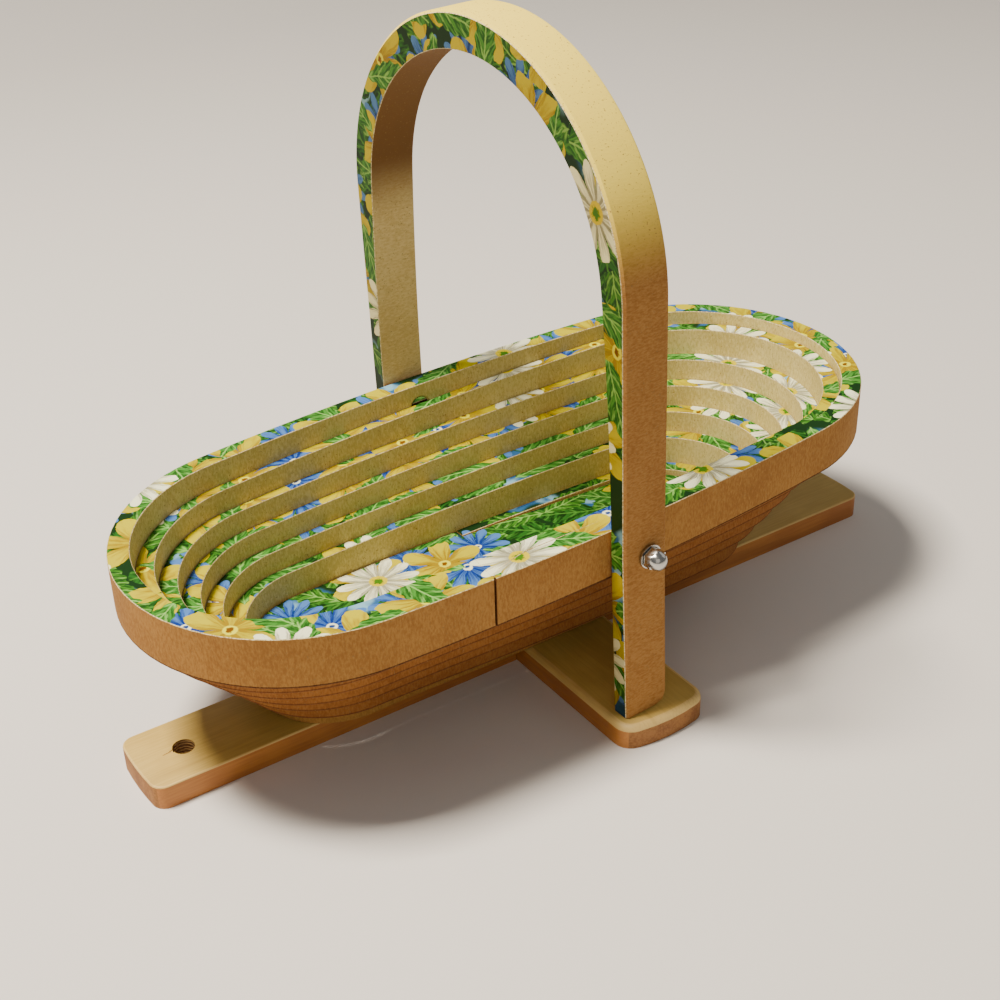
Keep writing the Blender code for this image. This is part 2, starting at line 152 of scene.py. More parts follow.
def ramp_between(tree: Tree, value: Socket, low: float, high: float) -> Socket:
    """Return 0 to 1 as a value runs smoothly from low to high."""
    return add_node(tree, "ShaderNodeMapRange",
                    {"Value": value, "From Min": low, "From Max": high},
                    interpolation_type="SMOOTHSTEP").outputs["Result"]


def mix(tree: Tree, share: Socket | float, first: Socket | Colour, second: Socket | Colour,
        blend: str = "MIX") -> Socket:
    """Return two colours mixed by a share."""
    node = add_node(tree, "ShaderNodeMix", data_type="RGBA", blend_type=blend)
    for key, value in (("Factor_Float", share), ("A_Color", first), ("B_Color", second)):
        socket = next(s for s in node.inputs if s.identifier == key)
        if isinstance(value, Socket):
            tree.links.new(value, socket)
        else:
            socket.default_value = value
    return next(s for s in node.outputs if s.identifier == "Result_Color")


def new_material(name: str) -> tuple[Material, Tree, Node]:
    """Return a new node material, its tree and its shader."""
    material = bpy.data.materials.new(name)
    material.use_nodes = True
    tree = material.node_tree
    return material, tree, tree.nodes["Principled BSDF"]


def emboss(tree: Tree, shader: Node, height: Socket, strength: float, depth: float) -> None:
    """Raise fine relief on a shader, with a strength from 0 to 1 and a depth."""
    bump = add_node(tree, "ShaderNodeBump",
                    {"Height": height, "Strength": strength, "Distance": depth})
    tree.links.new(bump.outputs[0], shader.inputs["Normal"])


def coat(tree: Tree, shader: Node, colour: Socket, roughness: float) -> None:
    """Give a shader its drawn colour and its roughness."""
    tree.links.new(colour, shader.inputs["Base Color"])
    shader.inputs["Roughness"].default_value = roughness


class BoardFace(Enum):
    """How a sawn piece lies: its board's face up, or its face towards the left end."""

    UP = "up"
    LEFT = "left"


class Slot(IntEnum):
    """Material slots of the pieces sawn from the board."""

    WALL = 0
    PRINT = 1
    OUTSIDE = 2
    PAPER = 3
    # The underside's slot: darker as painted shade, with a thin band at the foot of the outer wall.
    LOW = 4


class PineSlot(IntEnum):
    """Material slots of the pine bars."""

    TOP = 0
    # The eased edges' slot: a paler tone for sanded wear and a painted highlight.
    WORN = 1
    # The upright sides' slot: a darker tone as painted shade.
    SIDE = 2
    END = 3
    BORE = 4


@dataclass(frozen=True)
class SawnFibreboard:
    """Medium density fibreboard off a scroll saw: a matt khaki felt of fibres with fine dark specks.

    Up the handle's arch a second tone, matched to the photographed one, can take over by height:
    a pale one as a painted highlight on the arch's lit top, a dark one as painted shade under it.
    """

    name: str
    pale: str
    dark: str
    fleck: str = "8A6B3E"
    # A pale tone painted as a highlight on the arch's lit top, and a dark tone painted as shade under
    # the arch.
    painted_highlight: str | None = None
    shaded: str | None = None
    painted_highlight_heights: tuple[float, float] = (172.0 * MM, 208.0 * MM)
    shaded_heights: tuple[float, float] = (150.0 * MM, 178.0 * MM)
    grit: float = 0.7 * MM
    stroke: float = 0.4
    cloud_scale: float = 45.0
    fleck_scale: float = 1500.0
    roughness: float = 0.9

    def make(self, lie: BoardFace) -> Material:
        """Make the material; its faint saw strokes cross the board from face to face.

        Args:
            lie: the way the board's face looks.

        Returns:
            The material.
        """
        material, tree, shader = new_material(self.name)
        place = object_place(tree)
        along = (1.0, 1.0, self.stroke) if lie is BoardFace.UP else (self.stroke, 1.0, 1.0)
        drawn = add_node(tree, "ShaderNodeMapping", {"Vector": place, "Scale": along}).outputs[0]
        felt = add_node(tree, "ShaderNodeTexNoise", {"Vector": drawn, "Scale": 1.0 / self.grit,
                                                     "Detail": 3.0, "Roughness": 0.65}).outputs[0]
        share = weigh(tree, felt, noise(tree, place, self.cloud_scale, 3.0), 0.7)
        colour = mix(tree, ramp_between(tree, share, 0.37, 0.63), linear(self.dark), linear(self.pale))
        height = split(tree, place)[2]
        # Painted highlight and painted shade, each faded in by height up the arch.
        for tone, heights in ((self.painted_highlight, self.painted_highlight_heights),
                              (self.shaded, self.shaded_heights)):
            if tone:
                colour = mix(tree, ramp_between(tree, height, *heights), colour, linear(tone))
        flecks = ramp_between(tree, noise(tree, place, self.fleck_scale, 1.0), 0.66, 0.74)
        colour = mix(tree, times(tree, flecks, 0.8), colour, linear(self.fleck))
        emboss(tree, shader, felt, 0.3, 0.2 * MM)
        coat(tree, shader, colour, self.roughness)
        shader.inputs["Specular IOR Level"].default_value = 0.2
        return material


@dataclass(frozen=True)
class Bloom:
    """One kind of flower of the print, repeated in a loose scatter.

    cell is the mean distance between two flowers and reach their radius. slimness and parting shape
    the petals, eye is the heart's share of the radius, and chance the share of places left empty.
    """

    cell: float
    reach: float
    petals: int
    slimness: float
    parting: float
    eye: float
    petal_pale: str
    petal_deep: str
    eye_pale: str
    eye_deep: str
    shift: tuple[float, float]
    chance: float = 0.0
    looseness: float = 0.4

    def lay(self, tree: Tree, plane: Socket, colour: Socket) -> Socket:
        """Lay this flower over the print so far.

        Args:
            tree: the material's tree.
            plane: the board coordinates.
            colour: the colour below.

        Returns:
            The colour with the flowers on it.
        """
        away, chances = scatter(tree, plane, self.cell, self.looseness, self.shift)
        x, y, _ = split(tree, away)
        turn = plus(tree, math_node(tree, "ARCTAN2", y, x), times(tree, chances[0], FULL_TURN))
        radius = add_node(tree, "ShaderNodeVectorMath", {0: away}, operation="LENGTH").outputs["Value"]
        radius = math_node(tree, "DIVIDE", radius, self.reach)
        wave = math_node(tree, "COSINE", times(tree, turn, self.petals / 2.0))
        ray = math_node(tree, "ABSOLUTE", wave)
        tip = times(tree, math_node(tree, "POWER", ray, self.parting), 1.0 - self.slimness)
        edge = plus(tree, self.slimness, tip)
        cover = ramp_between(tree, minus(tree, edge, radius), 0.0, 0.025)
        if self.chance > 0.0:
            cover = times(tree, cover, math_node(tree, "GREATER_THAN", chances[1], self.chance))
        brushed = add_node(tree, "ShaderNodeCombineXYZ", {
            0: times(tree, wave, 5.0), 1: times(tree, radius, 1.6),
            2: times(tree, chances[2], 9.0)}).outputs[0]
        strokes = noise(tree, brushed, 1.3, 2.0)
        depth = plus(tree, times(tree, ray, 0.35), times(tree, radius, 0.45))
        depth = plus(tree, depth, times(tree, minus(tree, strokes, 0.5), 1.1))
        petal = mix(tree, ramp_between(tree, depth, 0.22, 0.72),
                    linear(self.petal_deep), linear(self.petal_pale))
        rounded = plus(tree, times(tree, noise(tree, away, 700.0, 1.0), 0.5),
                       math_node(tree, "DIVIDE", radius, self.eye * 2.0))
        heart = mix(tree, ramp_between(tree, rounded, 0.45, 0.62),
                    linear(self.eye_deep), linear(self.eye_pale))
        petal = mix(tree, ramp_between(tree, radius, self.eye + 0.03, self.eye), petal, heart)
        return mix(tree, cover, colour, petal)


@dataclass(frozen=True)
class Leaf:
    """One kind of veined leaf of the print, repeated in a loose scatter."""

    cell: float
    length: float
    width: float
    pale: str
    middle: str
    deep: str
    shift: tuple[float, float]
    looseness: float = 0.8

    def lay(self, tree: Tree, plane: Socket, colour: Socket) -> Socket:
        """Lay this leaf over the print so far.

        Args:
            tree: the material's tree.
            plane: the board coordinates.
            colour: the colour below.

        Returns:
            The colour with the leaves on it.
        """
        away, chances = scatter(tree, plane, self.cell, self.looseness, self.shift)
        turned = add_node(tree, "ShaderNodeVectorRotate",
                          {"Vector": away, "Angle": times(tree, chances[0], FULL_TURN)},
                          rotation_type="Z_AXIS").outputs[0]
        x, y, _ = split(tree, turned)
        along = math_node(tree, "DIVIDE", x, self.length)
        across = math_node(tree, "ABSOLUTE", math_node(tree, "DIVIDE", y, self.width))
        slack = math_node(tree, "POWER", math_node(tree, "ABSOLUTE", along), 1.7)
        room = minus(tree, 1.0, slack)
        saw = math_node(tree, "SINE", times(tree, along, 22.0))
        room = plus(tree, room, times(tree, saw, 0.07))
        cover = ramp_between(tree, minus(tree, room, across), 0.0, 0.06)
        slant = minus(tree, times(tree, along, 2.2), across)
        veins = ramp_between(tree, math_node(tree, "SINE", times(tree, slant, 9.0)), 0.2, 0.95)
        brushed = add_node(tree, "ShaderNodeCombineXYZ",
                           {0: times(tree, slant, 2.6), 1: across}).outputs[0]
        strokes = noise(tree, brushed, 1.6, 3.0)
        blade = mix(tree, ramp_between(tree, strokes, 0.38, 0.62),
                    linear(self.deep), linear(self.middle))
        lit = times(tree, ramp_between(tree, strokes, 0.42, 0.62), 0.6)
        blade = mix(tree, times(tree, veins, lit), blade, linear(self.pale))
        rib = times(tree, ramp_between(tree, across, 0.08, 0.02), 0.7)
        blade = mix(tree, rib, blade, linear(self.pale))
        return mix(tree, cover, colour, blade)


def scatter(tree: Tree, plane: Socket, cell: float, looseness: float,
            shift: tuple[float, float]) -> tuple[Socket, list[Socket]]:
    """Scatter places over the board's face.

    Args:
        tree: the material's tree.
        plane: the board coordinates.
        cell: the mean distance between two places.
        looseness: how far they stray from rows, 0 to 1.
        shift: how far the whole scatter is moved.

    Returns:
        The way from the nearest place, and three random numbers of that place.
    """
    moved = vector_node(tree, "ADD", plane, (shift[0], shift[1], 0.0))
    cells = add_node(tree, "ShaderNodeTexVoronoi",
                     {"Vector": moved, "Scale": 1.0 / cell, "Randomness": looseness},
                     voronoi_dimensions="2D")
    away = vector_node(tree, "SUBTRACT", moved, cells.outputs["Position"])
    return away, list(add_node(tree, "ShaderNodeSeparateColor", {0: cells.outputs["Color"]}).outputs)


@dataclass(frozen=True)
class PrintedPaper:
    """Printed paper glued on the board's face and sealed: a garden print of flowers and leaves."""

    name: str
    # A tint multiplied over the whole print, darkening it as painted shade.
    painted_shade_tint: str | None = None
    wash_pale: str = "7CAEC4"
    wash_deep: str = "2C5C8C"
    shade: str = "123012"
    roughness: float = 0.5
    waver: float = 2.0 * MM
    rag: float = 0.5 * MM

    def make(self, lie: BoardFace, pivot: float) -> Material:
        """Make the material in the flat board's own coordinates.

        Args:
            lie: the way the board's face looks.
            pivot: the height of the handle's pivot.

        Returns:
            The material.
        """
        material, tree, shader = new_material(self.name)
        x, y, z = split(tree, object_place(tree))
        first = x if lie is BoardFace.UP else minus(tree, z, pivot)
        plane = add_node(tree, "ShaderNodeCombineXYZ", {0: first, 1: y}).outputs[0]
        drawn = plane
        for scale, detail, reach in ((130.0, 2.5, self.waver), (900.0, 1.0, self.rag)):
            sway = noise(tree, plane, scale, detail, "Color")
            sway = vector_node(tree, "SUBTRACT", sway, (0.5,) * 3)
            drawn = vector_node(tree, "MULTIPLY_ADD", sway, (reach,) * 3, drawn)
        wash = ramp_between(tree, noise(tree, drawn, 75.0, 2.0), 0.46, 0.56)
        colour = mix(tree, wash, linear(self.wash_deep), linear(self.wash_pale))
        shade = ramp_between(tree, noise(tree, drawn, 34.0, 1.0), 0.4, 0.46)
        colour = mix(tree, shade, colour, linear(self.shade))
        for motif in PRINT_LAYERS:
            colour = motif.lay(tree, drawn, colour)
        # Painted shade: the print is darkened by the tint.
        if self.painted_shade_tint:
            colour = mix(tree, 1.0, colour, linear(self.painted_shade_tint), "MULTIPLY")
        emboss(tree, shader, noise(tree, plane, 2400.0, 2.0), 0.12, 0.1 * MM)
        coat(tree, shader, colour, self.roughness)
        shader.inputs["Specular IOR Level"].default_value = 0.1
        return material


@dataclass(frozen=True)
class PaperEdge:
    """The paper's own cut edge beside the saw cut: a thin pale fuzzy line."""

    name: str
    pale: str = "DCCCA0"
    dark: str = "A8905E"

    def make(self) -> Material:
        """Make the material."""
        material, tree, shader = new_material(self.name)
        fuzz = ramp_between(tree, noise(tree, object_place(tree), 1400.0, 2.0), 0.4, 0.62)
        coat(tree, shader, mix(tree, fuzz, linear(self.pale), linear(self.dark)), 0.85)
        return material


PRINT_LAYERS = (
    Leaf(22.0 * MM, 17.0 * MM, 8.0 * MM, "4E8A30", "25601E", "0D2C0B", (0.013, 0.004)),
    Leaf(19.0 * MM, 14.0 * MM, 5.6 * MM, "8CBE5C", "3E7A1E", "164012", (0.006, 0.017)),
    Bloom(29.0 * MM, 13.5 * MM, 11, 0.25, 0.5, 0.12, "4A78B8", "0C2C7C", "E8F0D0", "1E3A78",
          (0.004, 0.009), 0.15),
    Bloom(31.0 * MM, 17.5 * MM, 6, 0.22, 0.6, 0.12, "BEB200", "947A00", "DCD828", "704606",
          (0.021, 0.013), 0.12),
    Leaf(27.0 * MM, 17.0 * MM, 5.6 * MM, "96CA66", "46882E", "1C5014", (0.03, 0.022)),
    Bloom(42.0 * MM, 16.5 * MM, 12, 0.24, 0.45, 0.2, "F0F2CC", "8E8C72", "CCB800", "3E7010",
          (0.009, 0.031), 0.5),
)


@dataclass(frozen=True)
class PlanedPine:
    """Planed and sanded pine, sealed: plain pale wood with faint soft streaks along its grain."""

    name: str
    pale: str = "CCAE5C"
    deep: str = "B89A4A"
    streak: str = "987A36"
    stretch: float = 0.05
    roughness: float = 0.5

    def make(self, angle: float) -> Material:
        """Make the material with its grain along a bar.

        Args:
            angle: the bar's direction about +Z.

        Returns:
            The material.
        """
        material, tree, shader = new_material(self.name)
        turned = add_node(tree, "ShaderNodeMapping", {"Vector": object_place(tree),
                                                      "Rotation": (0.0, 0.0, -angle)}).outputs[0]
        drawn = add_node(tree, "ShaderNodeMapping",
                         {"Vector": turned, "Scale": (self.stretch, 1.0, 1.0)}).outputs[0]
        fibre = noise(tree, drawn, 1400.0, 3.0)
        share = weigh(tree, fibre, noise(tree, turned, 30.0, 3.0), 0.4)
        colour = mix(tree, ramp_between(tree, share, 0.35, 0.65), linear(self.deep), linear(self.pale))
        growth = ramp_between(tree, noise(tree, drawn, 170.0, 2.0), 0.56, 0.7)
        colour = mix(tree, times(tree, growth, 0.4), colour, linear(self.streak))
        emboss(tree, shader, fibre, 0.2, 0.15 * MM)
        coat(tree, shader, colour, self.roughness)
        return material


@dataclass(frozen=True)
class PineEndGrain:
    """Sawn and sanded end grain of pine: drinks the sealer, so it is darker, mottled and dull."""

    name: str
    pale: str = "A47038"
    deep: str = "86562A"

    def make(self) -> Material:
        """Make the material."""
        material, tree, shader = new_material(self.name)
        place = object_place(tree)
        pores = noise(tree, place, 1300.0, 3.0)
        share = weigh(tree, pores, noise(tree, place, 160.0, 3.0), 0.5)
        emboss(tree, shader, pores, 0.3, 0.2 * MM)
        coat(tree, shader, mix(tree, ramp_between(tree, share, 0.36, 0.64),
                               linear(self.deep), linear(self.pale)), 0.7)
        return material


@dataclass(frozen=True)
class DrilledPine:
    """The wall of a drilled bore: brown wood with fine rings left by the drill's feed."""

    name: str
    pale: str = "B08A50"
    deep: str = "6E4A22"
    pitch: float = 1.3 * MM

    def make(self) -> Material:
        """Make the material."""
        material, tree, shader = new_material(self.name)
        place = object_place(tree)
        turns = plus(tree, math_node(tree, "DIVIDE", split(tree, place)[2], self.pitch),
                     noise(tree, place, 500.0, 2.0))
        ring = math_node(tree, "SINE", times(tree, turns, FULL_TURN))
        emboss(tree, shader, ring, 0.6, 0.2 * MM)
        coat(tree, shader, mix(tree, ramp_between(tree, ring, -0.6, 0.8),
                               linear(self.deep), linear(self.pale)), 0.8)
        return material


@dataclass(frozen=True)
class PlatedSteel:
    """Bright plated steel, lightly handled: mirror-like with fine wear that dulls it in places."""

    name: str
    colour: str = "B9B9B6"
    low: float = 0.12
    high: float = 0.3

    def make(self) -> Material:
        """Make the material."""
        material, tree, shader = new_material(self.name)
        wear = noise(tree, object_place(tree), 700.0, 4.0)
        rough = add_node(tree, "ShaderNodeMapRange",
                         {"Value": wear, "To Min": self.low, "To Max": self.high}).outputs["Result"]
        tree.links.new(rough, shader.inputs["Roughness"])
        emboss(tree, shader, wear, 0.08, 0.05 * MM)
        shader.inputs["Base Color"].default_value = linear(self.colour)
        shader.inputs["Metallic"].default_value = 1.0
        return material


def deselect() -> None:
    """Leave edit mode and deselect every object."""
    if bpy.context.mode != "OBJECT":
        bpy.ops.object.mode_set(mode="OBJECT")
    bpy.ops.object.select_all(action="DESELECT")


def activate(piece: Piece) -> None:
    """Select one object alone and make it active."""
    deselect()
    piece.select_set(True)
    bpy.context.view_layer.objects.active = piece


def edit(*steps: Callable[[], object]) -> None:
    """Run steps in edit mode on the active piece, each with all of it selected."""
    bpy.ops.object.mode_set(mode="EDIT")
    for step in steps:
        bpy.ops.mesh.select_all(action="SELECT")
        step()
    bpy.ops.object.mode_set(mode="OBJECT")


def make_outward() -> None:
    """Turn the selected faces outward."""
    bpy.ops.mesh.normals_make_consistent(inside=False)


def smooth(piece: Piece, angle: float) -> None:
    """Shade an object smooth up to an angle in degrees."""
    activate(piece)
    bpy.ops.object.shade_smooth_by_angle(angle=math.radians(angle))


def loft(name: str, rows: list[list[Vector]], slots: list[int], end_slot: int) -> Piece:
    """Draw a grid over rows of points, join it round into a bar and cap its ends.

    Args:
        name: the piece's name.
        rows: one closed section of points for each station.
        slots: the material slot of each side of the section.
        end_slot: the material slot of the two ends.

    Returns:
        The closed piece.
    """
    deselect()
    across = len(rows[0])
    bpy.ops.mesh.primitive_grid_add(x_subdivisions=len(rows) - 1, y_subdivisions=across, size=1.0)
    piece = bpy.context.object
    piece.name = name
    mesh = piece.data
    for face in mesh.polygons:
        face.material_index = slots[math.floor((face.center.y + 0.5) * across)]
    for vertex in mesh.vertices:
        station = round((vertex.co.x + 0.5) * (len(rows) - 1))
        corner = round((vertex.co.y + 0.5) * across)
        vertex.co = rows[station][corner % across]
    edit(lambda: bpy.ops.mesh.remove_doubles(threshold=WELD),
         lambda: bpy.ops.mesh.fill_holes(sides=0), make_outward)
    for face in mesh.polygons:
        if len(face.vertices) > 4:
            face.material_index = end_slot
    return piece


def slab(name: str, outline: list[Vector], low: float, high: float, ease: float) -> Piece:
    """Model a flat piece with eased edges from its outline.

    Args:
        name: the piece's name.
        outline: the points round it.
        low: the height of its underside.
        high: the height of its top.
        ease: the width of the easing.

    Returns:
        The piece, with slot WALL on its sides and underside and slot PRINT on its top.
    """
    deselect()
    bpy.ops.mesh.primitive_circle_add(vertices=len(outline), radius=1.0, fill_type="NGON")
    piece = bpy.context.object
    piece.name = name
    for vertex, point in zip(piece.data.vertices, outline):
        vertex.co = (point.x, point.y, low)
    up = {"value": (0.0, 0.0, high - low)}
    edit(lambda: bpy.ops.mesh.extrude_region_move(TRANSFORM_OT_translate=up), make_outward)
    bevel = piece.modifiers.new("ease", "BEVEL")
    bevel.width = ease
    bevel.segments = 2
    bevel.limit_method = "ANGLE"
    bevel.angle_limit = math.radians(60.0)
    activate(piece)
    bpy.ops.object.modifier_apply(modifier=bevel.name)
    for face in piece.data.polygons:
        face.material_index = Slot.PRINT if face.normal.z > 0.95 else Slot.WALL
    return piece


def take_out(piece: Piece, tool: Piece) -> None:
    """Cut a tool's shape out of a piece and remove the tool."""
    modifier = piece.modifiers.new("cut", "BOOLEAN")
    modifier.operation = "DIFFERENCE"
    modifier.solver = "EXACT"
    modifier.object = tool
    activate(piece)
    bpy.ops.object.modifier_apply(modifier=modifier.name)
    bpy.data.objects.remove(tool, do_unlink=True)


def recast(node: str, angle: float) -> Piece:
    """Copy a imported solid, join its loose triangles and shade it.

    Args:
        node: the solid's name.
        angle: the sharpest edge, in degrees, that is shaded smooth.

    Returns:
        The piece that stands for the solid.
    """
    deselect()
    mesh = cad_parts[node].data.copy()
    piece = bpy.data.objects.new(node + "_fine", mesh)
    bpy.context.scene.collection.objects.link(piece)
    mesh.materials.clear()
    activate(piece)
    bpy.ops.mesh.customdata_custom_splitnormals_clear()
    edit(lambda: bpy.ops.mesh.remove_doubles(threshold=RECAST_WELD),
         lambda: bpy.ops.mesh.tris_convert_to_quads(face_threshold=math.radians(1.0),
                                                    shape_threshold=math.radians(60.0)))
    smooth(piece, angle)
    return piece


def hand_over(piece: Piece, node: str, body: str, materials: list[Material]) -> None:
    """Dress a piece and let it stand for its solid on its body.

    Args:
        piece: the finished piece.
        node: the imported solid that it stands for.
        body: the body that it moves with.
        materials: the materials in the order of the piece's slots.
    """
    for material in materials:
        piece.data.materials.append(material)
    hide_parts(node)
    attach(piece, body)
    LOG.info("%s: %d faces", piece.name, len(piece.data.polygons))


def dress_steel(nodes: list[str], body: str, steel: Material) -> None:
    """Dress packed steel solids as they are."""
    for node in nodes:
        hand_over(recast(node, STEEL_CREASE), node, body, [steel])


def rise(share: float) -> float:
    """Rise smoothly from 0 to 1."""
    share = min(max(share, 0.0), 1.0)
    return share * share * (3.0 - 2.0 * share)


def oval(half_length: float, half_width: float, end_radius: float, place: float) -> Vector:
    """Return the point at a place from 0 to 4 round a bowed oval.

    Args:
        half_length: half the oval's length.
        half_width: half its width.
        end_radius: the radius of its ends.
        place: 0 to 1 near side, 1 to 2 right end, 2 to 3 far side, 3 to 4 left end.

    Returns:
        The point, at height zero.
    """
    centre = half_length - end_radius
    bow = (centre ** 2 + half_width ** 2 - end_radius ** 2) / (2.0 * (half_width - end_radius))
    lean = math.atan2(centre, bow - half_width)
    part = math.floor(place % 4.0)
    share = place % 4.0 - part
    if part % 2 == 0:
        angle = lean * (2.0 * share - 1.0)
        point = Vector((bow * math.sin(angle), -(bow * math.cos(angle) - (bow - half_width)), 0.0))
    else:
        angle = (math.pi / 2.0 - lean) * (2.0 * share - 1.0)
        point = Vector((centre + end_radius * math.cos(angle), end_radius * math.sin(angle), 0.0))
    return point if part < 2 else Vector((-point.x, -point.y, 0.0))


@dataclass(frozen=True)
class Board:
    """The 19 mm board that the rim, the turns, the slat and the handle are sawn from."""

    thickness: float = 19.0 * MM
    half_length: float = 154.0 * MM
    half_width: float = 69.0 * MM
    end_radius: float = 65.0 * MM
    rim_height: float = 84.0 * MM
    rim_width: float = 8.0 * MM
    kerf: float = 0.8 * MM
    clear: float = 0.3 * MM
    edge: float = 0.22 * MM
    low_edge: float = 0.4 * MM
    foot_top: float = 9.5 * MM

    def edge_point(self, place: float) -> Vector:
        """Return the point at a place round the board's edge."""
        return oval(self.half_length, self.half_width, self.end_radius, place)

    @property
    def slat_top(self) -> float:
        """Height of the slat's printed face."""
        return self.foot_top + self.clear + self.thickness

    @property
    def pivot(self) -> float:
        """Height of the handle's pivot."""
        return self.rim_height - self.thickness / 2.0


@dataclass
class SpiralBasket:
    """The rim, the hanging turns and the slat, which one saw cut parts from each other."""

    board: Board
    pitch_along: float = 7.6 * MM
    pitch_across: float = 5.46 * MM
    pitch_shift: float = 0.62 * MM
    twist: float = math.radians(0.35)
    tilt: float = math.radians(0.7)
    entry_share: float = 0.200
    entry_length: float = 18.0 * MM
    mouth_length: float = 0.9 * MM
    tip_width: float = 1.2 * MM
    step_share: float = 0.20
    turns: float = 6.58
    seam: float = 0.06 * MM
    # Height of the band at the outer wall's foot that takes the painted shade of the underside.
    painted_shade_band: float = 0.9 * MM
    flare: float = 0.4 * MM
    rim_flare: float = 0.45 * MM
    drop_each: float = 8.7 * MM
    drop_first: float = 3.7 * MM
    drop_first_turns: float = 0.8
    drop_last_turns: float = 0.98
    steps: tuple[int, int, int, int] = (12, 36, 12, 36)

    @property
    def entry(self) -> float:
        """Share of a turn over which the cut runs in from the edge."""
        around = 4.0 * self.board.half_length + (FULL_TURN - 4.0) * self.board.half_width
        return self.entry_length / around

    @property
    def mouth(self) -> float:
        """Share of a turn that the mouth of the cut takes up."""
        return self.entry * self.mouth_length / self.entry_length

    def level(self, turns: float) -> float:
        """Return how many pitches in from the first pass the cut lies."""
        done = math.floor(turns)
        return done + rise((turns - done - (1.0 - self.step_share)) / self.step_share)

    def cut_point(self, turns: float, side: int) -> Vector:
        """Return a point on a wall of the cut.

        Args:
            turns: how far along the cut it lies.
            side: 1 for the cut's outer wall and -1 for its inner one.

        Returns:
            The point, at height zero.
        """
        board, level, grow = self.board, self.level(turns), side * self.board.kerf / 2.0
        first_width = board.half_width - board.rim_width
        half_width = first_width - self.pitch_across * level
        radius = half_width * (board.end_radius - board.rim_width) / first_width
        half_length = board.half_length - board.rim_width - self.pitch_along * level
        place = turns * 4.0 + self.entry_share
        point = oval(half_length + grow, half_width + grow, radius + grow, place)
        point.y += self.pitch_shift * level
        point.rotate(Matrix.Rotation(-self.twist * level, 3, "Z"))
        if turns < self.entry:
            share = math.sqrt(turns / self.entry)
            if side > 0:
                tip = self.tip_width / board.rim_width
                past = max(turns - self.mouth, 0.0) / (self.entry - self.mouth)
                share = tip + (1.0 - tip) * math.sqrt(past)
            point = board.edge_point(place).lerp(point, share)
        return point

    def top(self, turns: float, x: float) -> float:
        """Return the height of the printed face."""
        drop = 0.0
        if turns > 1.0:
            last = self.board.rim_height - self.board.slat_top - self.drop_first
            last -= self.drop_each * (self.turns - 1.0)
            drop = self.drop_each * (turns - 1.0)
            drop += self.drop_first * rise((turns - 1.0) / self.drop_first_turns)
            drop += last * rise((turns - self.turns + self.drop_last_turns) / self.drop_last_turns)
        share = 1.0 - max(turns - 1.0, 0.0) / (self.turns - 1.0)
        return self.board.rim_height - drop + math.tan(self.tilt) * share * x

    def stations(self, first: float, last: float) -> list[float]:
        """Return the places along the cut, in turns, where a piece has a section."""
        found = [first, last]
        for loop in range(math.floor(first), math.floor(last) + 2):
            for part, count in enumerate(self.steps):
                found += [loop + (part + k / count - self.entry_share) / 4.0 for k in range(count)]
            found += [loop + self.mouth] + [loop + self.entry * k / 12.0 for k in range(1, 13)]
        gap = self.entry / 40.0
        inner = [t for t in found if first + gap < t < last - gap]
        return [first] + sorted(set(inner)) + [last]

    def half_seam(self, turns: float) -> float:
        """Return the share of a turn that half a seam takes up there."""
        step = 1.0e-3
        way = self.cut_point(turns + step, -1) - self.cut_point(turns, -1)
        return self.seam / 2.0 * step / way.length

    def section(self, turns: float) -> list[Vector]:
        """Return the nine corners of the strip's section, wider below than above."""
        board = self.board
        if turns < 1.0:
            outer = board.edge_point(turns * 4.0 + self.entry_share)
        else:
            outer = self.cut_point(turns - 1.0, -1)
        inner = self.cut_point(turns, 1)
        width = (inner - outer).length
        edge, lower = [min(size, width / 4.0) for size in (board.edge, board.low_edge)]
        inwards = (inner - outer).normalized()
        high = [self.top(turns, point.x) for point in (outer, inner)]
        low = [height - board.thickness for height in high]
        lip = outer - inwards * (self.flare if turns > 1.0 else 0.0)
        heel = inner + inwards * min(self.flare if turns > 1.0 else self.rim_flare, width / 4.0)
        # The ninth corner closes a thin band at the outer wall's foot, darkened with the underside as
        # painted shade.
        return [Vector((point.x, point.y, height)) for point, height in (
            (lip, high[0] - edge), (lip + inwards * edge, high[0]), (inner - inwards * edge, high[1]),
            (inner, high[1] - edge), (heel, low[1] + lower), (heel - inwards * lower, low[1]),
            (outer + inwards * lower, low[0]), (outer, low[0] + lower), (outer, low[0] + self.painted_shade_band))]

    def build(self, walls: list[Material], rim_walls: list[Material],
              slat_side: Material, pivots: "PivotFittings") -> None:
        """Model and dress the turns and the slat.

        Args:
            walls: the turns' materials in the order of Slot.
            rim_walls: the same for the rim.
            slat_side: material of the slat's side.
            pivots: the fittings, which bore the rim.
        """
        # The underside, its eased edges and the band at the outer foot get the darker slot, as painted
        # shade.
        sides = [Slot.PAPER, Slot.PRINT, Slot.PAPER, Slot.WALL] + [Slot.LOW] * 4 + [Slot.OUTSIDE]
        for k in range(math.ceil(self.turns)):
            node = "spiral_turn_%d" % (k + 1) if k else "rim"
            first = k + self.half_seam(k) if k else self.mouth
            last = min(k + 1.0, self.turns)
            last -= self.half_seam(last) * (1.0 if last < self.turns else 2.0)
            rows = [self.section(turns) for turns in self.stations(first, last)]
            piece = loft(node + "_sawn", rows, sides, Slot.OUTSIDE if k else Slot.LOW)
            if k == 0:
                for tool in pivots.bores(PivotFittings.RIM):
                    take_out(piece, tool)
            smooth(piece, SAWN_CREASE)
            hand_over(piece, node, "turn_%d" % (k + 1) if k else "rim",
                      walls if k else rim_walls)
        outline = [self.cut_point(turns, -1) for turns in self.stations(self.turns - 1.0, self.turns)]
        low = self.board.slat_top - self.board.thickness
        slat = slab("bottom_slat_sawn", outline, low, self.board.slat_top, self.board.edge)
        for tool in CrossFoot(self.board).screw_bores():
            take_out(slat, tool)
        smooth(slat, SAWN_CREASE)
        hand_over(slat, "bottom_slat", "base", [slat_side, walls[Slot.PRINT]])


